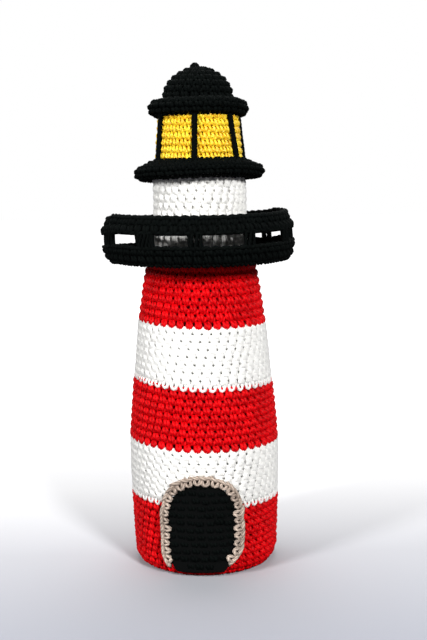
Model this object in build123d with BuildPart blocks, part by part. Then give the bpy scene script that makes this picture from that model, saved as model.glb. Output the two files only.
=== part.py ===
# A crocheted, stuffed toy lighthouse: a tower worked in five colour bands, a railed gallery,
# a white drum, a yellow lantern between two padded black brims, a domed roof and an arched door.
# Millimetres. +Z is up, the origin is the middle of the flat base, and the door faces -Y.

import os
from math import degrees

from build123d import *

os.makedirs("parts", exist_ok=True)

# Fabric and filling
fabric = 3.0                  # thickness of one layer of crochet
filling_gap = 0.3             # the filling keeps this clear of the fabric that curves round it

# Tower: the heel is where the rounded foot ends, and each band names its height and top radius
foot_rounding = 7.5
heel_radius = 35.2
bottom_red_height = 35.4
bottom_red_radius = 36.4
lower_white_height = 29.5
lower_white_radius = 36.7
middle_red_height = 29.2
middle_red_radius = 34.3
upper_white_height = 30.0
upper_white_radius = 31.4
top_red_height = 30.9
top_red_radius = 26.5

# Gallery: a floor with a slightly barrelled railing round it
gallery_radius = 47.8         # the widest part, half way up the railing
gallery_foot_radius = 46.6
gallery_rim_radius = 45.8
foot_rail_height = 5.7
railing_opening = 5.2
top_rail_height = 8.9
post_count = 11
post_width = 6.3
post_turn = -0.9              # degrees from the front to the first post

# Drum between the gallery and the lantern
drum_radius = 23.3
drum_height = 34.0

# Padded brim under the lantern
brim_overhang = 8.9           # beyond the glazing bars
brim_root_thickness = 11.0
brim_rim_thickness = 8.0

# Lantern, and the strands of yarn that stand for its glazing bars
lantern_foot_radius = 21.6
lantern_head_radius = 19.6
lantern_height = 21.0
bar_count = 6
bar_width = 2.9
bar_thickness = 2.0
bar_turn = -5.0               # degrees from the front to the first bar

# Roof: a padded brim, a dome and a drawn-up tip
roof_overhang = 7.1           # beyond the dome
roof_root_thickness = 9.0
roof_rim_thickness = 8.0
dome_radius = 17.9
dome_height = 15.4
tip_radius = 2.5
tip_height = 1.4

# Door: an arched patch with a crocheted edging, both sewn to the front of the tower
door_sill = 2.0
door_width = 30.0
door_height = 44.5            # from the sill to the crown of the arch
door_taper = 1.8              # each side draws in this much over the rounded foot
door_thickness = 2.5
edging_width = 4.5
edging_thickness = 4.0

# Heights that the sizes above lead to
bottom_red_top = bottom_red_height
lower_white_top = bottom_red_top + lower_white_height
middle_red_top = lower_white_top + middle_red_height
upper_white_top = middle_red_top + upper_white_height
tower_top = upper_white_top + top_red_height
gallery_floor_top = tower_top + fabric
foot_rail_top = gallery_floor_top + foot_rail_height
opening_top = foot_rail_top + railing_opening
railing_top = opening_top + top_rail_height
drum_top = gallery_floor_top + drum_height
brim_top = drum_top + brim_root_thickness
lantern_top = brim_top + lantern_height
roof_brim_top = lantern_top + roof_root_thickness
dome_top = roof_brim_top + dome_height

front = -90.0                 # direction of -Y, in degrees
quarter_pull = 0.5523         # how far a Bezier's handles reach when it draws a quarter ellipse


def finish(piece, label):
    """Names a finished piece and writes its file."""
    piece.part.label = label
    export_step(piece.part, f"parts/{label}.step")


def tower_side(proud):
    """Draws the side of the tower, moved out by `proud`, and gives its two ends."""
    foot = CenterArc((heel_radius - foot_rounding, foot_rounding), foot_rounding + proud, -90, 90)
    wall = Spline(
        (heel_radius + proud, foot_rounding),
        (bottom_red_radius + proud, bottom_red_top),
        (lower_white_radius + proud, lower_white_top),
        (middle_red_radius + proud, middle_red_top),
        (upper_white_radius + proud, upper_white_top),
        (top_red_radius + proud, tower_top),
    )
    return foot @ 0, wall @ 1


def tower_layer(inner, outer):
    """Draws the closed outline of a layer that lies between two offsets of the tower's side."""
    inner_foot, inner_head = tower_side(inner)
    outer_foot, outer_head = tower_side(outer)
    Line(inner_foot, outer_foot)
    Line(inner_head, outer_head)


def brim_outline(bottom, root_radius, rim_radius, root_thickness, rim_thickness):
    """Draws half a padded brim: flat below, full round at its rim and rising to its root."""
    nose = rim_radius - rim_thickness / 2
    Polyline((root_radius, bottom + root_thickness), (0, bottom + root_thickness), (0, bottom), (nose, bottom))
    CenterArc((nose, bottom + rim_thickness / 2), rim_thickness / 2, -90, 180)
    Line((nose, bottom + rim_thickness), (root_radius, bottom + root_thickness))


def railing_outline():
    """Draws the section of the whole railing wall, a shallow barrel from floor to rim."""
    for inset in (0, fabric):
        ThreePointArc(
            (gallery_foot_radius - inset, gallery_floor_top),
            (gallery_radius - inset, (gallery_floor_top + railing_top) / 2),
            (gallery_rim_radius - inset, railing_top),
        )
    Line((gallery_foot_radius, gallery_floor_top), (gallery_foot_radius - fabric, gallery_floor_top))
    Line((gallery_rim_radius, railing_top), (gallery_rim_radius - fabric, railing_top))


def dome_outline(radius, height):
    """Draws half a dome that stands on the roof's brim, a quarter of an ellipse."""
    top = roof_brim_top + height
    Bezier(
        (radius, roof_brim_top), (radius, roof_brim_top + quarter_pull * height),
        (quarter_pull * radius, top), (0, top),
    )
    Polyline((0, top), (0, roof_brim_top), (radius, roof_brim_top))


def arch_outline(margin):
    """Draws the door's arch, grown by `margin` at its sides and crown, on the -Y side's plane."""
    side = door_width / 2 + margin
    foot = side - door_taper
    spring = door_sill + door_height - door_width / 2
    Polyline(
        (-side, spring), (-side, door_sill + foot_rounding), (-foot, door_sill),
        (foot, door_sill), (side, door_sill + foot_rounding), (side, spring),
    )
    CenterArc((0, spring), side, 0, 180)


# Base: the flat round that the tower stands on
with BuildPart() as base_disc:
    with BuildSketch():
        Circle(heel_radius - foot_rounding)
    extrude(amount=fabric)
finish(base_disc, "base_disc")

# Tower: one tube of fabric in five bands of colour
bands = (
    ("tower_red_bottom", 0, bottom_red_top),
    ("tower_white_lower", bottom_red_top, lower_white_top),
    ("tower_red_middle", lower_white_top, middle_red_top),
    ("tower_white_upper", middle_red_top, upper_white_top),
    ("tower_red_top", upper_white_top, tower_top),
)
for label, low, high in bands:
    with BuildPart() as band:
        with BuildSketch(Plane.XZ):
            with BuildLine():
                tower_layer(-fabric, 0)
            make_face()
        revolve(axis=Axis.Z)
        if low > 0:
            split(bisect_by=Plane.XY.offset(low), keep=Keep.TOP)
        if high < tower_top:
            split(bisect_by=Plane.XY.offset(high), keep=Keep.BOTTOM)
    finish(band, label)

with BuildPart() as tower_stuffing:
    with BuildSketch(Plane.XZ):
        with BuildLine():
            foot, head = tower_side(-fabric - filling_gap)
            Polyline(foot, (0, fabric + filling_gap), (0, tower_top), head)
        make_face()
    revolve(axis=Axis.Z)
finish(tower_stuffing, "tower_stuffing")

# Gallery: the floor closes the tower and carries the railing
with BuildPart() as gallery_floor:
    with BuildSketch(Plane.XY.offset(tower_top)):
        Circle(gallery_foot_radius)
    extrude(amount=fabric)
finish(gallery_floor, "gallery_floor")

for label, low, high in (
    ("railing_foot", gallery_floor_top, foot_rail_top),
    ("railing_top", opening_top, railing_top),
):
    with BuildPart() as rail:
        with BuildSketch(Plane.XZ):
            with BuildLine():
                railing_outline()
            make_face()
        revolve(axis=Axis.Z)
        split(bisect_by=Plane.XY.offset(low), keep=Keep.TOP)
        split(bisect_by=Plane.XY.offset(high), keep=Keep.BOTTOM)
    finish(rail, label)

post_angle = degrees(post_width / gallery_radius)
for number in range(post_count):
    turn = front + post_turn + number * 360 / post_count - post_angle / 2
    with BuildPart() as post:
        with BuildSketch(Plane.XZ.rotated((0, 0, turn))):
            with BuildLine():
                railing_outline()
            make_face()
        revolve(axis=Axis.Z, revolution_arc=post_angle)
        split(bisect_by=Plane.XY.offset(foot_rail_top), keep=Keep.TOP)
        split(bisect_by=Plane.XY.offset(opening_top), keep=Keep.BOTTOM)
    finish(post, f"railing_post_{number + 1:02d}")

# Drum: a white tube on the gallery floor
with BuildPart() as drum:
    with BuildSketch(Plane.XY.offset(gallery_floor_top)):
        Circle(drum_radius)
        Circle(drum_radius - fabric, mode=Mode.SUBTRACT)
    extrude(amount=drum_height)
finish(drum, "drum")

with BuildPart() as drum_stuffing:
    with BuildSketch(Plane.XY.offset(gallery_floor_top)):
        Circle(drum_radius - fabric - filling_gap)
    extrude(amount=drum_height)
finish(drum_stuffing, "drum_stuffing")

# Brim under the lantern
brim_root_radius = lantern_foot_radius + bar_thickness
with BuildPart() as lantern_brim:
    with BuildSketch(Plane.XZ):
        with BuildLine():
            brim_outline(
                drum_top, brim_root_radius, brim_root_radius + brim_overhang,
                brim_root_thickness, brim_rim_thickness,
            )
        make_face()
    revolve(axis=Axis.Z)
finish(lantern_brim, "lantern_brim")

# Lantern: a tapering yellow tube with its glazing bars laid on it
with BuildPart() as lantern:
    with BuildSketch(Plane.XZ):
        Polygon(
            (lantern_foot_radius - fabric, brim_top), (lantern_foot_radius, brim_top),
            (lantern_head_radius, lantern_top), (lantern_head_radius - fabric, lantern_top),
            align=None,
        )
    revolve(axis=Axis.Z)
finish(lantern, "lantern")

with BuildPart() as lantern_stuffing:
    with BuildSketch(Plane.XZ):
        Polygon(
            (0, brim_top), (lantern_foot_radius - fabric - filling_gap, brim_top),
            (lantern_head_radius - fabric - filling_gap, lantern_top), (0, lantern_top),
            align=None,
        )
    revolve(axis=Axis.Z)
finish(lantern_stuffing, "lantern_stuffing")

bar_angle = degrees(bar_width / lantern_foot_radius)
for number in range(bar_count):
    turn = front + bar_turn + number * 360 / bar_count - bar_angle / 2
    with BuildPart() as bar:
        with BuildSketch(Plane.XZ.rotated((0, 0, turn))):
            Polygon(
                (lantern_foot_radius, brim_top), (lantern_foot_radius + bar_thickness, brim_top),
                (lantern_head_radius + bar_thickness, lantern_top), (lantern_head_radius, lantern_top),
                align=None,
            )
        revolve(axis=Axis.Z, revolution_arc=bar_angle)
    finish(bar, f"glazing_bar_{number + 1}")

# Roof: a padded brim under a stuffed dome with a small drawn-up tip
with BuildPart() as roof_brim:
    with BuildSketch(Plane.XZ):
        with BuildLine():
            brim_outline(
                lantern_top, dome_radius, dome_radius + roof_overhang,
                roof_root_thickness, roof_rim_thickness,
            )
        make_face()
    revolve(axis=Axis.Z)
finish(roof_brim, "roof_brim")

with BuildPart() as roof_dome:
    with BuildSketch(Plane.XZ):
        with BuildLine():
            dome_outline(dome_radius, dome_height)
        make_face()
        Polygon(
            (0, dome_top - fabric / 2), (tip_radius, dome_top - fabric / 2), (0, dome_top + tip_height),
            align=None,
        )
        with BuildLine():
            dome_outline(dome_radius - fabric, dome_height - fabric)
        make_face(mode=Mode.SUBTRACT)
    revolve(axis=Axis.Z)
finish(roof_dome, "roof_dome")

with BuildPart() as roof_stuffing:
    with BuildSketch(Plane.XZ):
        with BuildLine():
            dome_outline(dome_radius - fabric - filling_gap, dome_height - fabric - filling_gap)
        make_face()
    revolve(axis=Axis.Z)
finish(roof_stuffing, "roof_stuffing")

# Door: both pieces follow the tower's side and are cut to the arch
with BuildPart() as door_panel:
    with BuildSketch(Plane.XZ):
        with BuildLine():
            tower_layer(0, door_thickness)
        make_face()
    revolve(axis=Axis.Z)
    with BuildSketch(Plane.XZ):
        with BuildLine():
            arch_outline(0)
        make_face()
    extrude(amount=gallery_radius, mode=Mode.INTERSECT)
finish(door_panel, "door_panel")

with BuildPart() as door_edging:
    with BuildSketch(Plane.XZ):
        with BuildLine():
            tower_layer(0, edging_thickness)
        make_face()
    revolve(axis=Axis.Z)
    with BuildSketch(Plane.XZ):
        with BuildLine():
            arch_outline(edging_width)
        make_face()
        with BuildLine():
            arch_outline(0)
        make_face(mode=Mode.SUBTRACT)
    extrude(amount=gallery_radius, mode=Mode.INTERSECT)
finish(door_edging, "door_edging")
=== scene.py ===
import math
import random

import bmesh
import bpy
import numpy as np
from mathutils import Matrix, Vector
from mathutils.bvhtree import BVHTree


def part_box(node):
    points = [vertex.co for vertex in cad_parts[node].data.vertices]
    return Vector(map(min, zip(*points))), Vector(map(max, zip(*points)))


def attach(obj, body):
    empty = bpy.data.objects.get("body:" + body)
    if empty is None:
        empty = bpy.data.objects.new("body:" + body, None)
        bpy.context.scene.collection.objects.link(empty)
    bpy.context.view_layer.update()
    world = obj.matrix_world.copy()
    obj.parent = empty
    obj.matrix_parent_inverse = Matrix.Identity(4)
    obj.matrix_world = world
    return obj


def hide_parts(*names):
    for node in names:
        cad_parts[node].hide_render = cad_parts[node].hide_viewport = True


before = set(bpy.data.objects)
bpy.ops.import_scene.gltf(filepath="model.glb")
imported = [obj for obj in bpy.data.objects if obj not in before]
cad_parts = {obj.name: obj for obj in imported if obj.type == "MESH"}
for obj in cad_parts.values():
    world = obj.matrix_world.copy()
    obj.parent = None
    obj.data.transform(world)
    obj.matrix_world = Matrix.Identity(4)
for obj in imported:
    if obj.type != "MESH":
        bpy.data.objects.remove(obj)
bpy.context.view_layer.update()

mm = 0.001
weld = 0.001 * mm  # points nearer than this are one
front = -math.pi / 2  # the door faces -Y
rng = random.Random(11)  # the maker's hand: every unevenness comes from here

gauge = {
    "width": 4.7 * mm,  # one single crochet
    "height": 3.7 * mm,  # one round
    "lean": 0.21,  # each round drifts this part of a stitch to the right
    "sink": 0.6 * mm,  # the middle of the legs lies this far inside the surface
    "tightest": 1.5 * mm,  # no round is worked on a smaller radius
    "fewest": 6,  # stitches in a round
    "steepest": 5 * mm,  # inside this radius a round slopes no more
}


# Yarn and stitches. A strand is (x, y, z, radius) in millimetres: x to the right, y up the
# fabric and z out of it, measured from the hole that the stitch comes out of.

single = [
    # the two legs come out of the hole, swell over it and dive behind the next round; the hole
    # stays open between them and the legs of the next stitch
    [(-1.64, 1.35, -1.90, 0.80), (-1.76, 1.52, -0.45, 1.12), (-2.34, 1.95, 0.22, 1.06),
     (-2.65, 2.45, 0.42, 1.02), (-2.60, 3.20, 0.15, 0.93), (-2.77, 3.85, -0.65, 0.90),
     (-3.03, 4.70, -1.70, 0.80)],
    [(-0.94, 1.35, -1.90, 0.80), (-0.92, 1.52, -0.45, 1.12), (-0.54, 1.95, 0.22, 1.06),
     (-0.49, 2.45, 0.42, 1.02), (-0.91, 3.20, 0.15, 0.93), (-1.07, 3.85, -0.65, 0.90),
     (-1.23, 4.70, -1.70, 0.80)],
    # the loop along the top fills the gap between two stitches of the next round
    [(-0.43, 4.10, -1.30, 0.80), (0.67, 4.65, -0.55, 0.95), (1.92, 5.05, -0.10, 0.95),
     (2.07, 5.55, 0.00, 0.90), (1.87, 5.95, -0.70, 0.70), (1.72, 6.15, -1.80, 0.60)],
    # and its back lies behind their legs
    [(-2.93, 5.50, -1.20, 0.60), (-1.73, 5.65, -0.45, 0.80), (-0.33, 5.70, -0.25, 0.85),
     (1.07, 5.60, -0.50, 0.80), (2.27, 5.50, -1.20, 0.60)],
]

# the last round has no stitches over it, so its loops end at its own height
edge = [
    [(-1.64, 1.35, -1.90, 0.80), (-1.76, 1.52, -0.45, 1.10), (-2.29, 1.85, 0.22, 1.08),
     (-2.65, 2.40, 0.25, 1.00), (-2.73, 3.00, -0.40, 0.90), (-2.80, 3.40, -1.60, 0.70)],
    [(-0.94, 1.35, -1.90, 0.80), (-0.92, 1.52, -0.45, 1.10), (-0.58, 1.85, 0.22, 1.08),
     (-0.55, 2.40, 0.25, 1.00), (-0.83, 3.00, -0.40, 0.90), (-1.00, 3.40, -1.60, 0.70)],
    [(-1.45, 1.90, -0.90, 0.80), (-1.69, 2.70, -0.10, 0.95), (-1.87, 3.30, -1.20, 0.80)],
]

# the back of the same stitch: a level bar over two short legs
back = [
    [(-2.60, 0.60, -1.3, 0.7), (-2.00, 1.50, -0.25, 0.9), (-1.55, 2.50, -0.6, 0.8)],
    [(0.20, 0.60, -1.3, 0.7), (-0.30, 1.50, -0.25, 0.9), (-0.80, 2.50, -0.6, 0.8)],
    [(-3.60, 2.70, -1.2, 0.7), (-2.60, 2.90, -0.1, 0.95), (-1.10, 3.10, 0.20, 1.0),
     (0.40, 2.90, -0.1, 0.95), (1.30, 2.70, -1.2, 0.7)],
]

# one link of the chain along a finished edge, laid over it
link = [
    [(-2.60, 0.30, -0.9, 0.7), (-1.40, 0.75, -0.1, 0.95), (0.40, 1.05, 0.15, 1.0),
     (1.90, 0.80, -0.1, 0.9), (2.90, 0.20, -0.9, 0.7)],
    [(-2.60, -0.30, -0.9, 0.7), (-1.40, -0.75, -0.1, 0.95), (0.40, -1.05, 0.15, 1.0),
     (1.90, -0.80, -0.1, 0.9), (2.90, -0.20, -0.9, 0.7)],
]

# the edging's stitch, x along the edge and y away from the door: a loop laid over the door's
# edge, and the chain that runs round outside it
border = [
    [(-0.75, 3.00, -0.90, 0.55), (-1.25, 2.10, 0.20, 0.68), (-1.20, 1.10, 0.75, 0.84),
     (-0.55, 0.35, 0.35, 0.92), (0.10, 0.15, -1.00, 0.70)],
    [(0.75, 3.00, -0.90, 0.55), (1.15, 2.10, 0.10, 0.66), (1.10, 1.15, 0.60, 0.80),
     (0.60, 0.45, 0.25, 0.86), (0.00, 0.25, -1.00, 0.70)],
    [(-3.00, 3.75, -0.90, 0.60), (-1.60, 3.35, 0.10, 0.74), (0.20, 3.30, 0.45, 0.80),
     (2.00, 3.60, 0.10, 0.76), (3.20, 3.95, -0.90, 0.60)],
    [(-2.60, 2.95, -0.90, 0.55), (-1.30, 2.80, -0.10, 0.58), (0.30, 2.85, 0.10, 0.60),
     (1.80, 3.10, -0.20, 0.58), (2.80, 3.35, -0.90, 0.55)],
]


def inOrder(bm):
    # extruding leaves the faces in another order each run, so they are put by their points
    bm.verts.index_update()
    ranked = sorted(bm.faces, key=lambda face: sorted(vert.index for vert in face.verts))
    bm.faces.sort(key={face: rank for rank, face in enumerate(ranked)}.get)


def strand(bm, points, sides=6):
    # closed at both ends, with a UV of (turns around it, millimetres along it)
    uv = bm.loops.layers.uv["yarn"]
    centres = [Vector(p[:3]) * mm for p in points]
    headings = []
    for i in range(len(centres)):
        before, after = centres[max(i - 1, 0)], centres[min(i + 1, len(centres) - 1)]
        headings.append((after - before).normalized())
    turn = Vector((0, 0, 1)).rotation_difference(headings[0])
    ring = bmesh.ops.create_circle(bm, cap_ends=True, segments=sides, radius=1)["verts"]
    edges = list(dict.fromkeys(edge for vert in ring for edge in vert.link_edges))
    last = Matrix.Identity(4)
    walked = 0.0
    for i, (centre, heading) in enumerate(zip(centres, headings)):
        if i:
            turn = headings[i - 1].rotation_difference(heading) @ turn
            grown = bmesh.ops.extrude_edge_only(bm, edges=edges)["geom"]
            ring = [g for g in grown if isinstance(g, bmesh.types.BMVert)]
            edges = [g for g in grown if isinstance(g, bmesh.types.BMEdge)]
            faces = [g for g in grown if isinstance(g, bmesh.types.BMFace)]
        place = Matrix.LocRotScale(centre, turn, Vector((1, 1, 1)) * points[i][3] * mm)
        bmesh.ops.transform(bm, matrix=place @ last.inverted(), verts=ring)
        if i:
            step = (centre - centres[i - 1]).length
            for face in faces:
                for loop in face.loops:
                    far = loop.vert in ring
                    spot = (place if far else last).inverted() @ loop.vert.co
                    around = math.atan2(spot.y, spot.x) / math.tau
                    loop[uv].uv = (around, (walked + step * far) / mm)
                around = [loop[uv].uv.x for loop in face.loops]
                if max(around) - min(around) > 0.5:
                    for loop in face.loops:
                        loop[uv].uv.x += loop[uv].uv.x < 0
            walked += step
        last = place
    bmesh.ops.edgeloop_fill(bm, edges=edges)
    inOrder(bm)


def freshFabric():
    bm = bmesh.new()
    bm.loops.layers.uv.new("yarn")
    bm.verts.layers.float.new("tone")
    return bm


def template(name, strands, sides=6):
    bm = freshFabric()
    for points in strands:
        strand(bm, points, sides)
    bmesh.ops.recalc_face_normals(bm, faces=bm.faces)
    mesh = bpy.data.meshes.new(name)
    bm.to_mesh(mesh)
    bm.free()
    return mesh


# in the fluffier white yarn the strands close up, and only a small slanting hole stays open
soft = [
    [(-2.95, 0.10, -0.10, 0.90), (-2.80, 1.10, 0.02, 0.95), (-2.42, 2.00, 0.08, 0.90),
     (-2.85, 3.10, 0.02, 0.95), (-2.95, 4.20, -0.10, 0.90), (-3.00, 5.20, -0.50, 0.85)],
    [(-2.05, 0.10, -0.05, 0.90), (-1.95, 1.20, 0.16, 0.98), (-1.85, 2.20, 0.22, 0.98),
     (-1.95, 3.20, 0.12, 0.98), (-2.05, 4.20, -0.10, 0.90), (-2.10, 5.20, -0.50, 0.85)],
    [(-1.15, 0.10, -0.05, 0.90), (-1.05, 1.20, 0.16, 0.98), (-1.10, 2.20, 0.22, 0.98),
     (-1.05, 3.20, 0.12, 0.98), (-1.15, 4.20, -0.10, 0.90), (-1.20, 5.20, -0.50, 0.85)],
    [(-0.20, 0.10, -0.10, 0.90), (-0.15, 1.30, 0.02, 0.95), (-0.50, 2.35, 0.08, 0.90),
     (-0.20, 3.30, 0.02, 0.95), (-0.20, 4.20, -0.10, 0.90), (-0.25, 5.20, -0.50, 0.85)],
    [(0.60, 2.85, -0.55, 0.80), (0.68, 3.40, -0.12, 0.90), (0.80, 4.20, -0.08, 0.95),
     (0.95, 4.90, -0.12, 0.90), (1.05, 5.40, -0.55, 0.80)],
]

# the first round in white over red: open loops with the red seen inside them
loop = [
    [(-1.70, 4.40, -1.30, 0.70), (-2.45, 3.60, -0.10, 0.85), (-2.80, 2.60, 0.40, 0.82),
     (-2.55, 1.55, 0.40, 0.82), (-1.55, 1.00, 0.30, 0.86), (-0.55, 1.55, 0.40, 0.82),
     (-0.30, 2.60, 0.40, 0.82), (-0.65, 3.60, -0.10, 0.85), (-1.40, 4.40, -1.30, 0.70)],
] + soft[4:]

# the first round in red hangs over the white below it, in full round teeth
tooth = [
    [(-1.70, 1.00, -1.60, 0.80), (-1.95, 1.05, -0.05, 1.15), (-2.35, 1.65, 0.45, 1.15),
     (-2.60, 2.35, 0.45, 1.05)] + single[0][4:],
    [(-0.90, 1.00, -1.60, 0.80), (-0.90, 1.05, -0.05, 1.15), (-0.72, 1.65, 0.45, 1.15),
     (-0.60, 2.35, 0.45, 1.05)] + single[1][4:],
    [(-1.40, 0.85, -0.90, 0.80), (-1.45, 1.20, 0.40, 1.15), (-1.55, 2.20, 0.55, 1.00),
     (-1.80, 3.40, -0.60, 0.80)],
] + single[2:]

# mercerised yarn lies smoother, with its legs apart
apart = []
for leg, step in zip(single, (-0.22, 0.24)):
    apart.append([(x + step, y, 0.75 * z, 0.94 * r) for x, y, z, r in leg])

# the drum's stitches are the white ones in higher relief
plump = [[(x, y, 2.4 * z, r) for x, y, z, r in points] for points in soft]

singleStitch = template("singleStitch", single)
softStitch = template("softStitch", soft)
smoothStitch = template("smoothStitch", apart + single[2:])
plumpStitch = template("plumpStitch", plump)
toothStitch = template("toothStitch", tooth)
loopStitch = template("loopStitch", loop)
edgeStitch = template("edgeStitch", edge)
backStitch = template("backStitch", back, 5)
chainLink = template("chainLink", link)
borderStitch = template("borderStitch", border)


def rounded(points, reach, step=0.2 * mm):
    # eases the corners of a section, as cloth does
    r, z = np.array(points, float).T
    lengths = np.concatenate([[0.0], np.cumsum(np.hypot(np.diff(r), np.diff(z)))])
    even = np.linspace(0, lengths[-1], max(3, round(lengths[-1] / step)))
    r, z = np.interp(even, lengths, r), np.interp(even, lengths, z)
    half = min(round(reach / step), len(even) // 3)
    for _ in range(2):
        for line in (r, z):
            padded = np.pad(line, half, mode="reflect", reflect_type="odd")
            line[:] = np.convolve(padded, np.ones(2 * half + 1) / (2 * half + 1), "valid")
    return list(zip(r, z))


def walk(points):
    # walks a section of (radius, height) points: its length, and place and heading at any length
    r, z = np.array(points, float).T
    lengths = np.concatenate([[0.0], np.cumsum(np.hypot(np.diff(r), np.diff(z)))])
    dr, dz = np.gradient(r, lengths), np.gradient(z, lengths)
    size = np.hypot(dr, dz)

    def at(s):
        inside = np.clip(s, 0, lengths[-1])
        headR = np.interp(inside, lengths, dr / size)
        headZ = np.interp(inside, lengths, dz / size)
        beyond = s - inside
        return (
            np.interp(inside, lengths, r) + headR * beyond,
            np.interp(inside, lengths, z) + headZ * beyond, headR, headZ,
        )

    return lengths[-1], at


hand = {
    "spin": 0.025, "nod": 0.02,  # radians
    "shift": (0.06, 0.06, 0.05),  # millimetres
    "size": 0.02,
    "white": 0.35,  # white stitches vary by this part of what the others do
}


def jiggle(amount):
    # no two stitches made by hand are alike
    spin = Matrix.Rotation(rng.gauss(0, hand["spin"] * amount), 4, "Z")
    nod = Matrix.Rotation(rng.gauss(0, hand["nod"] * amount), 4, "X")
    shift = Vector([rng.gauss(0, spread) for spread in hand["shift"]]) * mm * amount
    size = 1 + rng.gauss(0, hand["size"] * amount)
    return Matrix.Translation(shift) @ spin @ nod @ Matrix.Scale(size, 4)


def spiral(at, turns, first, last, width=gauge["width"], level=False):
    # works rounds first to last as one spiral from the back, right to left, or each of them
    # level; turns tells the length walked after any number of rounds. The stitches are fitted so
    # that the rounds meet in the same way all over the front
    back = -front
    angle = back - math.tau * first
    seats = []
    for index in range(first, last):
        middle = back - math.tau * (index + 0.5)
        radius = max(at(turns(index + 0.5))[0], gauge["tightest"])
        shift = index * gauge["lean"] % 1
        step = min(width / radius, math.tau / gauge["fewest"])
        step = (angle - middle) / (round((angle - middle) / step - shift) + shift)
        while angle > middle - math.pi + step / 2:
            turn = index if level else (back - angle) / math.tau
            low, high = turns(turn), turns(turn + 1)
            radius = max(at(low)[0], gauge["tightest"])
            seats.append({
                "round": index, "length": low, "angle": angle, "radius": radius,
                "wide": step * radius / gauge["width"], "tall": (high - low) / gauge["height"],
                "slope": math.atan2(high - low, math.tau * max(radius, gauge["steepest"])),
            })
            angle -= step
    return seats


def bend(bm, stitch, amount, onto):
    # adds a copy of a stitch, each of its points at the place that onto tells
    copy = stitch.copy()
    copy.transform(jiggle(amount))
    points = np.empty(len(copy.vertices) * 3)
    copy.vertices.foreach_get("co", points)
    copy.vertices.foreach_set("co", onto(*points.reshape(-1, 3).T).ravel())
    copy.attributes["tone"].data.foreach_set("value", [rng.random()] * len(copy.vertices))
    bm.from_mesh(copy)
    bpy.data.meshes.remove(copy)


def lay(bm, stitch, at, seats, sink=gauge["sink"]):
    # bends each stitch onto the surface of revolution at its seat
    amount = hand["white"] if stitch is softStitch else 1.0
    for seat in seats:
        lean, rise = math.cos(seat["slope"]), math.sin(seat["slope"])

        def onto(x, y, z):
            x, y = x * seat["wide"], y * seat["tall"]
            angle = seat["angle"] + (x * lean + y * rise) / seat["radius"]
            r, height, dr, dz = at(seat["length"] + y * lean - x * rise)
            r, height = r + dz * (z - sink), height - dr * (z - sink)
            return np.column_stack([r * np.cos(angle), r * np.sin(angle), height])

        bend(bm, stitch, amount, onto)


def inRounds(seats, first, last):
    return [seat for seat in seats if first <= seat["round"] < last]


def lathe(bm, section, segments=72):
    # spins a closed section into the inner layer of the fabric, seen in the holes
    verts = [bm.verts.new((r, 0, z)) for r, z in section]
    edges = [bm.edges.new(pair) for pair in zip(verts, verts[1:] + verts[:1])]
    bmesh.ops.spin(
        bm, geom=verts + edges, axis=(0, 0, 1), cent=(0, 0, 0), angle=math.tau,
        steps=segments, use_merge=True,
    )
    bmesh.ops.remove_doubles(bm, verts=bm.verts, dist=weld)
    bmesh.ops.recalc_face_normals(bm, faces=bm.faces)
    inOrder(bm)
    # the layer takes the second material, a colour painted darker as shade in the holes
    for face in bm.faces:
        face.material_index = 1
    # started afresh, or the stitches would fill the gaps that merging left, in any order
    mesh = bpy.data.meshes.new("layer")
    bm.to_mesh(mesh)
    bm.clear()
    bm.from_mesh(mesh)
    bpy.data.meshes.remove(mesh)


def settle(bm, reach, drop, tilt, toward, waves):
    # a soft piece settles: it drops, tilts toward an angle (degrees from the right) and lies in
    # three waves, all of it most at its rim
    for vert in bm.verts:
        x, y, _ = vert.co
        turn = math.atan2(y, x)
        sunk = drop + tilt * math.cos(turn - math.radians(toward)) + waves * math.sin(3 * turn + 1)
        vert.co.z -= sunk * min(1.0, math.hypot(x, y) / reach) ** 3


def layer(at, low, high, near=1.6 * mm, far=2.6 * mm, steps=16):
    # the section of a layer that lies from near to far inside a walked surface
    outer, inner = [], []
    for i in range(steps + 1):
        r, z, dr, dz = at(low + (high - low) * i / steps)
        outer.append((max(r - dz * near, 0), z + dr * near))
        inner.append((max(r - dz * far, 0), z + dr * far))
    return outer + inner[::-1]


def finished(name, bm, yarns, nodes):
    mesh = bpy.data.meshes.new(name)
    bm.to_mesh(mesh)
    bm.free()
    for material in yarns:
        mesh.materials.append(material)
    for polygon in mesh.polygons:
        polygon.use_smooth = True
    piece = bpy.data.objects.new(name, mesh)
    bpy.context.scene.collection.objects.link(piece)
    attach(piece, "root")
    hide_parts(*nodes)
    print("made", name, "with", len(mesh.polygons), "faces")


def surfaceOf(*nodes):
    bm = bmesh.new()
    for node in nodes:
        bm.from_mesh(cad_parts[node].data)
    tree = BVHTree.FromBMesh(bm)
    bm.free()
    return tree


def radiusAt(tree, height, outside=True):
    # of a solid of revolution, from outside or from its axis, a little beside its seam
    start, ray = (0.2, -1) if outside else (0.0, 1)
    return tree.ray_cast(Vector((start, 0.4 * mm, height)), Vector((ray, 0, 0)))[0].x


def fan(node, radius, height, low, high, steps=160):
    # the outline of a solid of revolution, as (radius, height) points in a fan about one point
    tree = surfaceOf(node)
    points = []
    for i in range(steps + 1):
        lift = math.radians(low + (high - low) * i / steps)
        ray = Vector((math.cos(lift), 0, math.sin(lift)))
        hit = tree.ray_cast(Vector((radius, 0.3 * mm, height)) + ray * 0.3, -ray)[0]
        points.append((hit.x, hit.z))
    return points


# Materials

def linear(code):
    channels = [int(code[i : i + 2], 16) / 255 for i in (1, 3, 5)]
    return [c / 12.92 if c <= 0.04045 else ((c + 0.055) / 1.055) ** 2.4 for c in channels] + [1.0]


def addNode(tree, kind, values={}, links={}, **settings):
    node = tree.nodes.new("ShaderNode" + kind)
    for name, value in settings.items():
        setattr(node, name, value)
    for socket, value in values.items():
        node.inputs[socket].default_value = value
    for socket, source in links.items():
        tree.links.new(source, node.inputs[socket])
    return node


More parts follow.
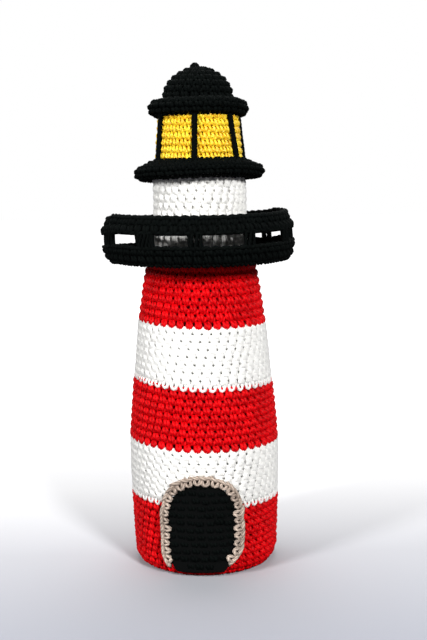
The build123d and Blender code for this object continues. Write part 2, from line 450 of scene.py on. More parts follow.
def newMaterial(name, **sockets):
    material = bpy.data.materials.new(name)
    material.use_nodes = True
    shader = material.node_tree.nodes["Principled BSDF"]
    for socket, value in sockets.items():
        shader.inputs[socket.replace("_", " ")].default_value = value
    return material, material.node_tree, shader


plied = {
    "plies": 3,
    "nap": 0.45 * mm,  # size of the fluff
    # how far a ridge (painted shade in the ply grooves, lighter on the ridges), a stitch and the nap
    # take the colour from deep to light
    "ridge": 0.5, "stitch": 0.3, "speckle": 0.3,
    "relief": 0.25,  # of the nap, beside 1 for a ridge
    "groove": 0.22 * mm,  # depth between the plies
    "strength": 0.6,
}


def plyYarn(name, deep, light, lay=6.6, roughness=0.75, specular=0.2, fuzz=0.0):
    # plied cotton: the plies go once round the strand in lay millimetres, as slanting ridges; their
    # colour is painted from deep in the grooves, as shade, to light on the ridges, partly as highlight,
    # beside their bump; each stitch's tone differs a little at random, and the nap is fine
    material, tree, shader = newMaterial(
        name, Roughness=roughness, Specular_IOR_Level=specular, Sheen_Weight=fuzz,
    )
    turns = math.tau * plied["plies"]
    uv = addNode(tree, "UVMap", uv_map="yarn")
    split = addNode(tree, "SeparateXYZ", links={0: uv.outputs[0]})
    along = addNode(tree, "Math", {1: turns / lay}, {0: split.outputs[1]}, operation="MULTIPLY")
    phase = addNode(
        tree, "Math", {1: turns}, {0: split.outputs[0], 2: along.outputs[0]},
        operation="MULTIPLY_ADD",
    )
    wave = addNode(tree, "Math", links={0: phase.outputs[0]}, operation="SINE")
    ridge = addNode(tree, "MapRange", {1: -1.0, 2: 1.0}, {0: wave.outputs[0]})
    place = addNode(tree, "TexCoord")
    nap = addNode(
        tree, "TexNoise", {"Scale": 1 / plied["nap"], "Detail": 2.0},
        {"Vector": place.outputs["Object"]},
    )
    tone = addNode(tree, "Attribute", attribute_name="tone")
    blend = addNode(
        tree, "Math", {1: plied["stitch"]}, {0: tone.outputs["Fac"]}, operation="MULTIPLY"
    )
    amount = addNode(
        tree, "Math", {1: plied["ridge"]}, {0: ridge.outputs[0], 2: blend.outputs[0]},
        operation="MULTIPLY_ADD",
    )
    speckled = addNode(
        tree, "Math", {1: plied["speckle"]}, {0: nap.outputs["Fac"], 2: amount.outputs[0]},
        operation="MULTIPLY_ADD",
    )
    colour = addNode(
        tree, "MixRGB", {1: linear(deep), 2: linear(light)}, {0: speckled.outputs[0]}, use_clamp=True
    )
    tree.links.new(colour.outputs[0], shader.inputs["Base Color"])
    height = addNode(
        tree, "Math", {1: plied["relief"]}, {0: nap.outputs["Fac"], 2: ridge.outputs[0]},
        operation="MULTIPLY_ADD",
    )
    bump = addNode(
        tree, "Bump", {"Strength": plied["strength"], "Distance": plied["groove"]},
        {"Height": height.outputs[0]},
    )
    tree.links.new(bump.outputs[0], shader.inputs["Normal"])
    return material


def clouded(name, deep, light, size, detail=2.0, **sockets):
    # two colours in soft clouds
    material, tree, shader = newMaterial(name, **sockets)
    place = addNode(tree, "TexCoord")
    clouds = addNode(
        tree, "TexNoise", {"Scale": 1 / size, "Detail": detail}, {"Vector": place.outputs["Object"]}
    )
    colour = addNode(
        tree, "MixRGB", {1: linear(deep), 2: linear(light)}, {0: clouds.outputs["Fac"]}
    )
    tree.links.new(colour.outputs[0], shader.inputs["Base Color"])
    return material


def innerLayerPaintedShade(name, deep, light):
    # the strands behind, seen only deep in the holes, in a colour painted darker than the yarn as their
    # shade
    return clouded(name, deep, light, 1.5 * mm, Roughness=0.95, Specular_IOR_Level=0.1)


# each yarn's first colour is painted shade for its ply grooves, its second is lighter on the ridges,
# partly painted highlight
redCotton = (
    plyYarn("redCotton", "#920004", "#f8030f", roughness=0.5, specular=0.1),
    innerLayerPaintedShade("redCottonBehindPaintedShade", "#2a0102", "#4a0305"),
)
whiteCotton = (
    plyYarn("whiteCotton", "#efeee9", "#fbfaf7", specular=0.1, fuzz=0.6),
    innerLayerPaintedShade("whiteCottonBehindPaintedShade", "#a09e98", "#b2b0aa"),
)
blackCotton = (
    plyYarn("blackCotton", "#020303", "#080c0b", roughness=0.8, specular=0.03),
    innerLayerPaintedShade("blackCottonBehindPaintedShade", "#010202", "#030404"),
)
yellowCotton = (
    plyYarn("yellowMercerisedCotton", "#e8980a", "#fff03c", lay=5.0, roughness=0.36, specular=0.4),
    innerLayerPaintedShade("yellowCottonBehindPaintedShade", "#a04c02", "#bc6006"),
)
beigeCotton = (
    plyYarn("beigeCotton", "#5e4f46", "#d9c6b6"),
    innerLayerPaintedShade("beigeCottonBehindPaintedShade", "#2c2522", "#3f3530"),
)
print("spun the yarns")


# Tower: one spiral of single crochet from the middle of the base to the gallery

tower = {
    "tooth": 2.0 * mm,  # a new colour's first holes lie this far under the edge of its band
    "base": 8,  # rounds in the flat base
    "bands": [  # CAD node, yarn, slot, rounds, sink in mm: the stuffing swells the foot most
        ("tower_red_bottom", redCotton, "red_yarn", 11, 0.0),
        ("tower_white_lower", whiteCotton, "white_yarn", 8, 0.1),
        ("tower_red_middle", redCotton, "red_yarn", 8, 0.3),
        ("tower_white_upper", whiteCotton, "white_yarn", 8, 0.5),
        ("tower_red_top", redCotton, "red_yarn", 8, 0.8),
    ],
    "samples": 320,  # of its outline
    "pressed": (0.4 * mm, 0.25),  # lower than this it is flattened to this part
    "fill": 0.95,
}
# how far its rounds are drawn up, in millimetres
drawn = {
    "left": 0.8,  # at the left
    "ease": 1.2,  # how slowly that grows to the left
    "span": (8, 150, 25),  # from and to these heights, growing over this stretch
    "waist": (0.9, 94, 14),  # this much more, about this height, so far up and down
    "foot": (0.75, 35, 12),  # this much all round
    "right": 0.3,  # but this part less at the right
}


def towerSection():
    tree = surfaceOf(*[band[0] for band in tower["bands"]])
    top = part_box("tower_red_top")[1][2]
    section = [(0.0, 0.0), (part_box("base_disc")[1][0], 0.0)]
    for i in range(tower["samples"]):
        height = top * (i + 0.5) / tower["samples"]
        section.append((radiusAt(tree, height), height))
    section.append((section[-1][0], top))
    return section


towerLength, towerAt = walk(towerSection())
towerSteps = np.linspace(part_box("base_disc")[1][0], towerLength, 4000)
towerHeights = towerAt(towerSteps)[1]


def lengthAt(height):
    return np.interp(height, towerHeights, towerSteps)


towerEdges = [towerSteps[0]] + [lengthAt(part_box(band[0])[1][2]) for band in tower["bands"]]
knots = [(0, 0.0), (tower["base"] + 0.5, towerEdges[0])]
for band, top in zip(tower["bands"], towerEdges[1:]):
    knots.append((knots[-1][0] + band[3], top - tower["tooth"]))


def towerTurns(turn):
    turns, lengths = zip(*knots)
    return float(np.interp(turn, turns, lengths))


door = {
    "side": -1.3 * mm,  # its middle, to the left of the tower's
    "half": 15.2 * mm,  # half the width that the edging leaves free
    "spring": 31 * mm,  # height where the round head starts
    "rise": 17.2 * mm,  # of the head
    "square": 2.4,  # how far the head is from an ellipse, which would be 2
    "heels": (20 * mm, 14.2 * mm),  # heights where the right and the left side start to turn in
    "turns": (14.5 * mm, 9 * mm),  # radii of those turns
    "feet": (46, 38),  # degrees that they turn
    "sill": 4.2 * mm,
    "heart": (-1.3 * mm, 2 * mm),  # the middle of a stitch, from its hole
    "hidden": 2.5 * mm,  # no stitch of the tower lies further inside
    "footed": 3 * mm,  # but all of them do below this height
}


def insideArch(x, z, margin):
    x -= door["side"]
    half = door["half"] + margin
    if z > door["spring"]:
        rise = (z - door["spring"]) * door["half"] / door["rise"]
        return abs(x) ** door["square"] + rise ** door["square"] < half ** door["square"]
    turn = door["turns"][x < 0]
    fall = min(max(0.0, door["heels"][x < 0] - z), 0.8 * turn)
    return abs(x) < half - turn + math.sqrt(turn ** 2 - fall ** 2)


def underDoor(seat):
    r, height, _, _ = towerAt(seat["length"])
    if math.sin(seat["angle"]) > 0 or height < door["footed"]:
        return False
    right, up = door["heart"]
    return insideArch(r * math.cos(seat["angle"]) + right, height + up, -door["hidden"])


def press(bm):
    # its weight presses the lowest stitches flat on the table
    height, part = tower["pressed"]
    for vert in bm.verts:
        if vert.co.z < height:
            vert.co.z = height - (height - vert.co.z) * part


def bell(z, middle, width):
    return math.exp(-(((z - middle) / width) ** 2))


def climb(bm):
    # the rounds are drawn up a little, more at the left
    start, end, growing = drawn["span"]
    waist, *waistAt = drawn["waist"]
    foot, *footAt = drawn["foot"]
    for vert in bm.verts:
        x, y, z = vert.co / mm
        reach = math.hypot(x, y, 1)
        left = max(0.0, -x / reach) ** drawn["ease"]
        fade = min(1.0, max(0.0, min(z - start, end - z) / growing))
        up = left * fade * (drawn["left"] + waist * bell(z, *waistAt))
        up += foot * (1 - drawn["right"] * x / reach) * bell(z, *footAt)
        vert.co.z += up * mm


rounds = tower["base"] + sum(band[3] for band in tower["bands"])
towerSeats = spiral(towerAt, towerTurns, 0, rounds)
bm = freshFabric()
lathe(bm, layer(towerAt, 0.01 * mm, towerEdges[0], steps=4))
lay(bm, singleStitch, towerAt, inRounds(towerSeats, 0, tower["base"]))
press(bm)
finished("base-crochet", bm, redCotton, ["base_disc"])
seen = [seat for seat in towerSeats if not underDoor(seat)]
first = tower["base"]
for number, (node, yarns, slotName, count, sink) in enumerate(tower["bands"]):
    bm = freshFabric()
    lathe(bm, layer(towerAt, towerEdges[number], towerEdges[number + 1]))
    start, rest = (loopStitch, softStitch) if yarns is whiteCotton else (toothStitch, singleStitch)
    if number == 0:
        start = rest
    lay(bm, start, towerAt, inRounds(seen, first, first + 1), sink * mm)
    lay(bm, rest, towerAt, inRounds(seen, first + 1, first + count), sink * mm)
    climb(bm)
    press(bm)
    finished(node.replace("_", "-") + "-crochet", bm, yarns, [node])
    first += count


# Drum, lantern, the two brims and the dome: each a spiral of its own

def worked(bm, stitches, path, width=gauge["width"], sink=gauge["sink"], spare=0.0, level=False):
    # stitches names one for each round; the spare end of the path has no round of its own
    length, at = walk(path)
    rounds = len(stitches)
    seats = spiral(at, lambda turn: (length - spare) * turn / rounds, 0, rounds, width, level)
    for index, stitch in enumerate(stitches):
        lay(bm, stitch, at, inRounds(seats, index, index + 1), sink)


def spun(node, yarns, slotName, path, rounds, steps=16, stitch=singleStitch, settled=None, **work):
    length, at = walk(path)
    bm = freshFabric()
    lathe(bm, layer(at, 0.01 * mm, length, steps=steps))
    worked(bm, [stitch] * rounds, path, **work)
    if settled:
        settle(bm, **settled)
    finished(node.replace("_", "-") + "-crochet", bm, yarns, [node])


drumBox, brimBox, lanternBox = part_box("drum"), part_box("lantern_brim"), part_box("lantern")
roofBox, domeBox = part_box("roof_brim"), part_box("roof_dome")

drum = {
    "tuck": 1 * mm,  # it starts this far inside the floor
    "taper": 0.6 * mm,
    "rounds": 9, "width": 4.45 * mm, "sink": 1.0 * mm,
}
spun(
    "drum", whiteCotton, "white_yarn",
    [(drumBox[1][0], drumBox[0][2] - drum["tuck"]), (drumBox[1][0] - drum["taper"], drumBox[1][2])],
    drum["rounds"], stitch=plumpStitch, width=drum["width"], sink=drum["sink"],
)

brim = {
    "core": 21.5 * mm,  # radius of the middle of its fold
    "lower": 1 * mm,  # and that lies under its own middle
    "fold": (-80, 76),  # degrees
    "flat": 0.7,  # its underside hangs this part as low
    "corner": 1 * mm, "rounds": 8, "sink": 0.9 * mm,
    "settled": {
        "reach": brimBox[1][0], "drop": -0.3 * mm, "tilt": 3.2 * mm, "toward": 102, "waves": 0.3 * mm,
    },
}
middle = (brimBox[0][2] + brimBox[1][2]) / 2 - brim["lower"]
brimPath = []
for r, z in fan("lantern_brim", brim["core"], middle, *brim["fold"]):
    brimPath.append((r, max(z, middle + (z - middle) * brim["flat"])))
spun(
    "lantern_brim", blackCotton, "black_yarn", rounded(brimPath, brim["corner"]), brim["rounds"],
    steps=40, sink=brim["sink"], settled=brim["settled"],
)

lantern = {
    "foot": 21.6 * mm, "head": 19.6 * mm,  # radii
    "tuck": 1.5 * mm,  # its foot lies this far inside the brim
    "under": (2.5 * mm, 4.7 * mm),  # it starts this much narrower and lower
    "rounds": 8, "width": 4.25 * mm,
}
spun(
    "lantern", yellowCotton, "yellow_yarn",
    [(lantern["foot"] - lantern["under"][0], lanternBox[0][2] - lantern["under"][1]),
     (lantern["foot"], lanternBox[0][2] - lantern["tuck"]), (lantern["head"], lanternBox[1][2])],
    lantern["rounds"], stitch=smoothStitch, width=lantern["width"],
)

roof = {
    "core": 15.5 * mm, "fold": (-80, 70), "corner": 1 * mm, "rounds": 6, "sink": 1.0 * mm,
    "settled": {
        "reach": roofBox[1][0], "drop": 0.0, "tilt": 1.8 * mm, "toward": 90, "waves": 0.2 * mm,
    },
}
middle = (roofBox[0][2] + roofBox[1][2]) / 2
roofPath = rounded(fan("roof_brim", roof["core"], middle, *roof["fold"]), roof["corner"])
spun(
    "roof_brim", blackCotton, "black_yarn", roofPath, roof["rounds"], steps=40, sink=roof["sink"],
    settled=roof["settled"],
)

# the top closes on a small knot, into which the last stitches dive
dome = {
    # radius, and height over the brim, in millimetres
    "crown": [(17.2, -3), (17.2, 0), (17.0, 2.5), (15.9, 6), (13.4, 9.5), (9.3, 12.6), (4.6, 14.6),
              (0.5, 15.0)],
    "corner": 1.5 * mm,
    "dive": (0.5 * mm, 0.3 * mm, 5 * mm),  # radii and depth
    "under": 0.5 * mm,  # it starts this far down
    "rounds": 8,
}
crown = rounded([(r * mm, roofBox[1][2] + z * mm) for r, z in dome["crown"]], dome["corner"])
tip = crown[-1][1] - dome["under"]
wide, narrow, deep = dome["dive"]
spun(
    "roof_dome", blackCotton, "black_yarn", crown + [(wide, tip), (narrow, tip - deep)],
    dome["rounds"], steps=40, spare=dome["under"] + deep,
)

knot = {
    "place": (-1.2, -0.6), "height": domeBox[1][2] / mm - 2.1, "size": 1.8, "ply": 0.9,
    "tilts": (0.3, 1.6, 2.7),  # of its loops, in radians
}
bm = freshFabric()
for tilt in knot["tilts"]:
    points = []
    for i in range(9):
        turn = math.tau * i / 8 + tilt
        points.append((
            knot["place"][0] + knot["size"] * math.cos(turn) * math.cos(tilt),
            knot["place"][1] + knot["size"] * math.cos(turn) * math.sin(tilt),
            knot["height"] + knot["size"] * math.sin(turn), knot["ply"],
        ))
    strand(bm, points)
bmesh.ops.recalc_face_normals(bm, faces=bm.faces)
finished("roof-dome-knot", bm, [blackCotton[0]], ["roof_dome"])

# each bar sits and leans as it was sewn
bars = {
    "turn": -5,  # degrees from the front to the first bar
    "nudges": [0, 0, -12, 2, -1, 3.5],  # degrees off its place
    "leans": [0.3, -2.6, 1.2, -0.4, 0.6, 0.2],  # millimetres to the left at its head
    "over": 1 * mm,  # its ends go this far into the brims
    "proud": 1.1 * mm,
    "plies": 3, "ply": 0.9, "pitch": 6.0 * mm,
    "twist": (0.7 * mm, 0.4 * mm),  # how far its plies lie beside its middle, and before it
}
for number, lean in enumerate(bars["leans"]):
    node = f"glazing_bar_{number + 1}"
    place = bars["turn"] + number * 360 / len(bars["leans"]) + bars["nudges"][number]
    turned = Matrix.Rotation(front + math.radians(place), 4, "Z")
    low, high = lanternBox[0][2] - bars["over"], lanternBox[1][2] + bars["over"]
    bm = freshFabric()
    for ply in range(bars["plies"]):
        points = []
        for i in range(25):
            z = low + (high - low) * i / 24
            part = (z - lanternBox[0][2]) / (lanternBox[1][2] - lanternBox[0][2])
            radius = lantern["foot"] + (lantern["head"] - lantern["foot"]) * part + bars["proud"]
            turn = math.tau * (-z / bars["pitch"] + ply / bars["plies"])
            side = bars["twist"][0] * math.cos(turn) + lean * mm * part
            out = bars["twist"][1] * math.sin(turn)
            spot = turned @ Vector((radius + out, side, z))
            points.append((*(spot / mm), bars["ply"]))
        strand(bm, points)
    bmesh.ops.recalc_face_normals(bm, faces=bm.faces)
    finished(node.replace("_", "-") + "-cord", bm, [blackCotton[0]], [node])


# Gallery: a floor worked outwards, then up into the railing's foot, posts and top rail

floorBox, footBox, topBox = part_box("gallery_floor"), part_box("railing_foot"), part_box("railing_top")
floorRim = floorBox[1][0]
gallery = {
    "rim": 45.8 * mm,  # radius of the railing
    "wall": 3.0 * mm,
    "start": 24 * mm,  # radius where the floor starts
    "under": 1 * mm,  # it ends this far inside the drum
    "corners": (1.5 * mm, 1 * mm),  # between floor and railing, outside and inside
    "rounds": (8, 7),  # outside and inside: two and one of them are the railing's
    "short": (0.6 * mm, 1 * mm),  # they stay this far from the railing's edge
    "sink": 0.8 * mm,  # of the floor's underside
    "layer": (1.1 * mm, 0.4 * mm),  # depth of the inner layer, and half its thickness
    "links": 62,  # of each chain round the rim
    "chainSink": 0.9 * mm,
    # each chain, out from the rim and up from its edge
    "footChain": (0.5 * mm, 0.6 * mm),
    "lowerChain": (0.5 * mm, 0.5 * mm),
    "upperChain": (-0.2 * mm, 0.3 * mm),
    # millimetres: its belly, and how it draws in below and above
    "swell": (0.4, 6, 9),
    "aside": (1.6, 1.3),  # to the left, and back at its lower edge
    "low": 1.1,  # how far its lower edge hangs
    "hangs": (4.1 * mm, 115),  # drop at the back, and its direction in degrees from the right
}


def railSide(node, outside):
    # upwards along the outer side of a rail, or downwards along its inner side
    tree = surfaceOf(node)
    low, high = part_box(node)[0][2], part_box(node)[1][2]
    heights = [low + (high - low) * (0.02 + 0.96 * i / 8) for i in range(9)]
    points = [(radiusAt(tree, z, outside), z) for z in heights]
    return points if outside else points[::-1]


def wall(bm, node):
    # the middle of a wall that shows both its sides
    outer = [(r - gallery["layer"][0], z) for r, z in railSide(node, True)]
    inner = [(r + gallery["layer"][0], z) for r, z in railSide(node, False)]
    lathe(bm, outer + inner)


def sag(bm):
    # the railing bellies, leans a little to the left and hangs at the back
    low, high = floorBox[0][2], topBox[1][2]
    most, below, above = gallery["swell"]
    left, back = gallery["aside"]
    fall, toward = gallery["hangs"]
    for vert in bm.verts:
        part = (vert.co.z - low) / (high - low)
        reach = min(1.0, math.hypot(vert.co.x, vert.co.y) / floorRim) ** 3
        swell = most - (above if part > 0.5 else below) * (part - 0.5) ** 2
        grown = 1 + reach * swell * mm / floorRim
        behind = math.cos(math.atan2(vert.co.y, vert.co.x) - math.radians(toward))
        drop = fall * max(0.0, behind) ** 0.6 * min(1.0, max(0.3, 0.3 + 1.8 * part))
        under = (1 - min(1.0, max(0.0, part))) ** 2
        vert.co.x = vert.co.x * grown + reach * (back * under - left) * mm
        vert.co.y *= grown
        vert.co.z -= reach * (drop + gallery["low"] * under * mm)


def chain(bm, over, edgeHeight, flip=1):
    # closes an edge of the railing: flip -1 for one that faces down
    radius, height = gallery["rim"] + over[0], edgeHeight + over[1]
    count = gallery["links"]
    at = walk([(radius, height), (radius - flip * mm, height)])[1]
    links = []
    for k in range(count):
        links.append({
            "length": 0.0, "angle": math.tau * (k + 0.3 * flip) / count, "radius": radius,
            "tall": 0.8, "wide": math.tau * radius / count / gauge["width"], "slope": 0.0,
        })
    lay(bm, chainLink, at, links, gallery["chainSink"])


outside = [(gallery["start"], floorBox[0][2]), (floorRim, floorBox[0][2])]
outside += railSide("railing_foot", True)
inside = railSide("railing_foot", False) + [
    (floorRim - gallery["wall"], floorBox[1][2]), (drumBox[1][0] - gallery["under"], floorBox[1][2]),
]
outsideLength, outsideAt = walk(rounded(outside, gallery["corners"][0]))
insideLength, insideAt = walk(rounded(inside, gallery["corners"][1]))
outsideRounds, insideRounds = gallery["rounds"]
stop, begin = gallery["short"]
outsideSeats = spiral(
    outsideAt, lambda turn: (outsideLength - stop) * turn / outsideRounds, 0, outsideRounds,
    level=True,
)
insideSeats = spiral(
    insideAt, lambda turn: begin + (insideLength - begin) * turn / insideRounds, 0, insideRounds,
    level=True,
)

bm = freshFabric()
middle = (floorBox[0][2] + floorBox[1][2]) / 2
inward, thick = gallery["layer"]
lathe(bm, [
    (0, middle - thick), (floorRim - inward, middle - thick),
    (floorRim - inward, middle + thick), (0, middle + thick),
])
lay(bm, singleStitch, outsideAt, inRounds(outsideSeats, 0, outsideRounds - 2), gallery["sink"])
lay(bm, backStitch, insideAt, inRounds(insideSeats, 1, insideRounds))
sag(bm)
finished("gallery-floor-crochet", bm, blackCotton, ["gallery_floor"])

bm = freshFabric()
wall(bm, "railing_foot")
lay(bm, singleStitch, outsideAt, inRounds(outsideSeats, outsideRounds - 2, outsideRounds - 1))
lay(bm, edgeStitch, outsideAt, inRounds(outsideSeats, outsideRounds - 1, outsideRounds))
lay(bm, backStitch, insideAt, inRounds(insideSeats, 0, 1))
chain(bm, gallery["footChain"], footBox[1][2])
sag(bm)
finished("railing-foot-crochet", bm, blackCotton, ["railing_foot"])

bm = freshFabric()
wall(bm, "railing_top")
worked(bm, [singleStitch, edgeStitch], railSide("railing_top", True), spare=0.5 * mm, level=True)
worked(bm, [backStitch, backStitch], railSide("railing_top", False), spare=0.5 * mm, level=True)
chain(bm, gallery["lowerChain"], topBox[0][2], -1)
chain(bm, gallery["upperChain"], topBox[1][2])
sag(bm)
finished("railing-top-crochet", bm, blackCotton, ["railing_top"])

posts = {
    "count": 11,
    "turn": -0.9,  # degrees from the front to the first post
    # degrees off a post's place, and millimetres that it is wider
    "odd": {0: (0, 0.5), 7: (-6.2, 0), 9: (2.5, 0.4), 10: (2.4, 3.0)},
    "over": 1.5 * mm,  # its strands go this far into the rails
    "strands": (6, 2),  # and more for each millimetre wider
    "ring": (2.6, 0.75),  # millimetres: half its width and depth
    "proud": 0.4 * mm,
    "twist": 0.12,  # turns from foot to head
    "ply": 0.9,
}
for number in range(posts["count"]):
    node = f"railing_post_{number + 1:02d}"
    nudge, wider = posts["odd"].get(number, (0, 0))
    place = posts["turn"] + number * 360 / posts["count"] + nudge
    turned = Matrix.Rotation(front + math.radians(place), 4, "Z")
    low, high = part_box(node)[0][2] - posts["over"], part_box(node)[1][2] + posts["over"]
    bm = freshFabric()
    count = round(posts["strands"][0] + posts["strands"][1] * wider)
    for k in range(count):
        points = []
        for i in range(7):
            turn = math.tau * (k / count - posts["twist"] * i / 6)
            side = (posts["ring"][0] + wider / 2) * mm * math.cos(turn)
            out = posts["ring"][1] * mm * math.sin(turn)
            spot = Vector((gallery["rim"] + posts["proud"] + out, side, low + (high - low) * i / 6))
            points.append((*(turned @ spot / mm), posts["ply"]))
        strand(bm, points)
    bmesh.ops.recalc_face_normals(bm, faces=bm.faces)
    sag(bm)
    finished(node.replace("_", "-") + "-strands", bm, [blackCotton[0]], [node])


# Door: rows of black crochet inside the arch, and the beige edging round it

def ontoTower(x, z, out):
    # bends the plane of the door onto the tower: x to the right, z up, out from the surface
    r, height, dr, dz = towerAt(lengthAt(z))
    grown = (r + dz * out) / r
    return np.column_stack([x * grown, -np.sqrt(r * r - x * x) * grown, height - dr * out])


def sew(bm, stitch, spot, proud, amount):
    # lays one stitch on the door, where spot tells the place of any of its points
    bend(bm, stitch, amount, lambda x, y, out: ontoTower(*spot(x, y), out + proud))


# its edge, from the right foot over the head to the left one
headTurns = np.radians(np.arange(0, 181, 4))
rightTurns = np.radians(np.linspace(-door["feet"][0], 0, 14))
leftTurns = np.radians(np.linspace(180, 180 + door["feet"][1], 14))
headX = np.sign(np.cos(headTurns)) * np.abs(np.cos(headTurns)) ** (2 / door["square"])
headZ = np.abs(np.sin(headTurns)) ** (2 / door["square"])
edgeX = door["side"] + np.concatenate([
    door["half"] + door["turns"][0] * (np.cos(rightTurns) - 1), door["half"] * headX,
    door["turns"][1] * (np.cos(leftTurns) + 1) - door["half"],
])
edgeZ = np.concatenate([
    door["heels"][0] + door["turns"][0] * np.sin(rightTurns),
    door["spring"] + door["rise"] * headZ,
    door["heels"][1] + door["turns"][1] * np.sin(leftTurns),
])
edgeLength, edgeAt = walk(np.column_stack([edgeX, edgeZ]))

panel = {
    "rows": 12, "proud": 1.3 * mm, "width": 4.55 * mm,
    "uneven": 2.4,  # times as much as the tower
    "lift": 0.2 * mm,  # its first row's holes are this far over the sill
    "slip": 0.4,  # each row is off by up to this part of a stitch, either way
    "stagger": 0.3,  # every other row
    "heart": (-1.3 * mm, 1.8 * mm),  # the middle of a stitch, from its hole
    "margin": (0.5 * mm, -2.2 * mm),  # they go this far past the edge, and in the lowest row
    "sunk": 0.9 * mm,  # the patch behind them lies this far back
    "wide": 1.06,  # and is wider
    "heel": 0.2,  # but narrower at the lower right
    "corner": (0.16, 4.5 * mm),  # and at its lowest corners, up to this height
}
bm = freshFabric()
bm.from_mesh(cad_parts["door_panel"].data)
bmesh.ops.remove_doubles(bm, verts=bm.verts, dist=weld)
panelFoot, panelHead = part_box("door_panel")[0][2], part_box("door_panel")[1][2]
squat = (door["spring"] + door["rise"] - door["sill"]) / (panelHead - panelFoot)
for vert in bm.verts:
    x, y, z = vert.co
    out = math.hypot(x, y) - float(towerAt(lengthAt(z))[0]) - panel["sunk"]
    z = door["sill"] + (z - panelFoot) * squat
    corner = max(0.0, 1 - (z - door["sill"]) / panel["corner"][1])
    wide = panel["wide"] - panel["heel"] * (x > 0) * max(0.0, 1 - z / door["heels"][0])
    wide -= panel["corner"][0] * corner ** 2
    vert.co = ontoTower(np.array([x * wide + door["side"]]), np.array([z]), out)[0]
# the patch behind takes the second material, painted shade
for face in bm.faces:
    face.material_index = 1
right, up = panel["heart"]
for row in range(panel["rows"]):
    z = door["sill"] + panel["lift"] + row * gauge["height"]
    offset = rng.uniform(-panel["slip"], panel["slip"])
    for k in range(-5, 6):
        x = door["side"] + (k + offset + panel["stagger"] * (row % 2)) * panel["width"]
        if insideArch(x + right, z + up, panel["margin"][row == 0]):
            sew(bm, edgeStitch, lambda a, b: (x + a, z + b), panel["proud"], panel["uneven"])
finished("door-panel-crochet", bm, blackCotton, ["door_panel"])

edging = {
    "pitch": 3.8 * mm, "proud": 2.1 * mm,
    "uneven": 1.7,  # times as much as the tower
    "tight": 0.98,  # each is drawn together a little
    "chain": 3.6 * mm,  # distance of its chain from the edge
    "deep": (0.8, 1.16),  # reach of its loops, from and to
    # the strand seen in its holes: radius and distance from the edge in millimetres, height
    # over the tower, and distance from the feet
    "core": 1.35, "coreOut": 2.0, "coreProud": 0.4 * mm, "coreShort": 1.5 * mm,
}
bm = freshFabric()
s = np.linspace(edging["coreShort"], edgeLength - edging["coreShort"], 60)
x, z, headX, headZ = edgeAt(s)
x, z = x + headZ * edging["coreOut"] * mm, z - headX * edging["coreOut"] * mm
strand(bm, [(*point, edging["core"]) for point in ontoTower(x, z, edging["coreProud"]) / mm])
# the core takes the second material, painted darker as shade in the holes
for face in bm.faces:
    face.material_index = 1
count = round(edgeLength / edging["pitch"])
for k in range(count):
    middle = edgeLength * (k + 0.5) / count
    stretch = edgeLength / count / edging["pitch"] * edging["tight"]
    deep = rng.uniform(*edging["deep"])

    def spot(a, b):
        x, z, headX, headZ = edgeAt(middle + a * stretch)
        b = edging["chain"] - (edging["chain"] - b) * deep
        return x + headZ * b, z - headX * b

    sew(bm, borderStitch, spot, edging["proud"], edging["uneven"])
bmesh.ops.recalc_face_normals(bm, faces=bm.faces)
finished("door-edging-crochet", bm, beigeCotton, ["door_edging"])


# Filling: white fibre in loose tufts

fibrefill = clouded(
    "polyesterFibrefill", "#dcdcd8", "#fafaf8", 6 * mm, 6.0, Roughness=1.0, Sheen_Weight=0.3
)
for node in ("tower_stuffing", "drum_stuffing", "lantern_stuffing", "roof_stuffing"):
    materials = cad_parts[node].data.materials
    materials.clear()
    materials.append(fibrefill)
    print("filled", node)


# Stage

view = {
    "place": (5.8 * mm, -575 * mm, 207.8 * mm),
    "pitch": math.radians(8.41),
    "roll": math.radians(-1.0),
    "focal": 64.7,
}
camera = bpy.data.objects.new("camera", bpy.data.cameras.new("camera"))
camera.data.lens = view["focal"]
camera.data.sensor_width = 36
camera.data.clip_start = 0.01
camera.location = view["place"]
aim = Matrix.Rotation(math.pi / 2 - view["pitch"], 3, "X") @ Matrix.Rotation(view["roll"], 3, "Z")
camera.rotation_euler = aim.to_euler()
bpy.context.scene.collection.objects.link(camera)
bpy.context.scene.camera = camera
bpy.context.scene.view_settings.view_transform = "Standard"

studio = {
    "world": (0.05, 1.0),  # its light on the object, and as it is seen or mirrored
    "aim": (0, 0, 0.12),  # what the lamps point at
    "lamps": [  # name, place, size, power
        ("key", (0.52, -1.05, 0.69), 0.25, 16.5),
        ("fill", (-0.92, -0.84, 0.66), 0.3, 13.6),
        ("top", (0.0, 0.4, 1.1), 0.9, 8.8),
    ],
}
world = bpy.data.worlds.new("studio")
world.use_nodes = True
bpy.context.scene.world = world
tree = world.node_tree
background = tree.nodes["Background"]
background.inputs[0].default_value = (1, 1, 1, 1)
path = addNode(tree, "LightPath")
seen = addNode(
    tree, "Math", links={0: path.outputs["Is Camera Ray"], 1: path.outputs["Is Glossy Ray"]},
    operation="MAXIMUM",
)
dim, bright = studio["world"]
strength = addNode(tree, "MapRange", {3: dim, 4: bright}, {0: seen.outputs[0]})
tree.links.new(strength.outputs[0], background.inputs[1])
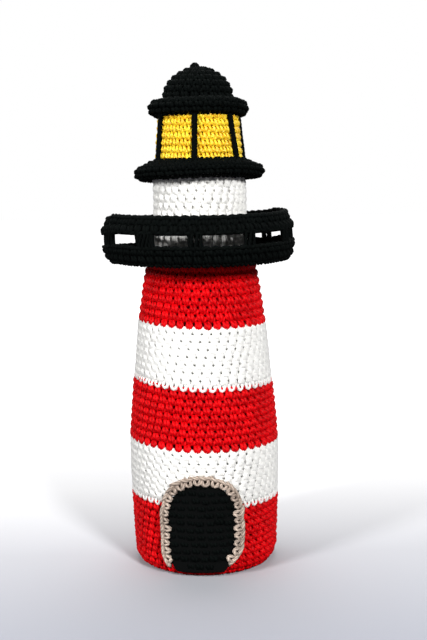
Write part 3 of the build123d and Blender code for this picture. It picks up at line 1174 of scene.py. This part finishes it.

# matt white card, painted darker and bluer towards the camera as shade
card = {
    "size": 3,
    "near": ("#8b909f", -0.22), "far": ("#dadadc", 0.12),  # colours, and where they lie
    "bounce": "#4a4a50",  # what it throws back
    "behind": (0.0, 0.5),  # it turns white between these distances behind the object
    "away": (0.2, 0.7),  # and from it
}
floorMesh = bpy.data.meshes.new("table")
bm = bmesh.new()
bmesh.ops.create_grid(bm, x_segments=1, y_segments=1, size=card["size"])
bm.to_mesh(floorMesh)
bm.free()
table = bpy.data.objects.new("table", floorMesh)
bpy.context.scene.collection.objects.link(table)
whiteCard, tree, shader = newMaterial("whiteCard", Roughness=0.9)
place = addNode(tree, "TexCoord")
split = addNode(tree, "SeparateXYZ", links={0: place.outputs["Object"]})
near, far = card["near"], card["far"]
# the painted shade: the card fades from the near colour to the far one
fade = addNode(tree, "MapRange", {1: near[1], 2: far[1]}, {0: split.outputs[1]})
colour = addNode(tree, "MixRGB", {1: linear(near[0]), 2: linear(far[0])}, {0: fade.outputs[0]})
path = addNode(tree, "LightPath")
dull = addNode(
    tree, "MixRGB", {1: linear(card["bounce"])},
    {0: path.outputs["Is Camera Ray"], 2: colour.outputs[0]},
)
tree.links.new(dull.outputs[0], shader.inputs["Base Color"])
start, end = card["behind"]
behind = addNode(tree, "MapRange", {1: start, 2: end}, {0: split.outputs[1]})
distance = addNode(tree, "VectorMath", links={0: place.outputs["Object"]}, operation="LENGTH")
start, end = card["away"]
away = addNode(tree, "MapRange", {1: start, 2: end}, {0: distance.outputs["Value"]})
glow = addNode(tree, "Math", links={0: behind.outputs[0], 1: away.outputs[0]}, operation="MAXIMUM")
glowSeen = addNode(
    tree, "Math", links={0: glow.outputs[0], 1: path.outputs["Is Camera Ray"]}, operation="MULTIPLY"
)
tree.links.new(glowSeen.outputs[0], shader.inputs["Emission Strength"])
shader.inputs["Emission Color"].default_value = (1, 1, 1, 1)
floorMesh.materials.append(whiteCard)

for name, place, size, power in studio["lamps"]:
    light = bpy.data.lights.new(name, "AREA")
    light.shape = "DISK"
    light.size = size
    light.energy = power
    lamp = bpy.data.objects.new(name, light)
    lamp.location = place
    heading = Vector(studio["aim"]) - Vector(place)
    lamp.rotation_euler = heading.to_track_quat("-Z", "Y").to_euler()
    bpy.context.scene.collection.objects.link(lamp)
print("set the stage")
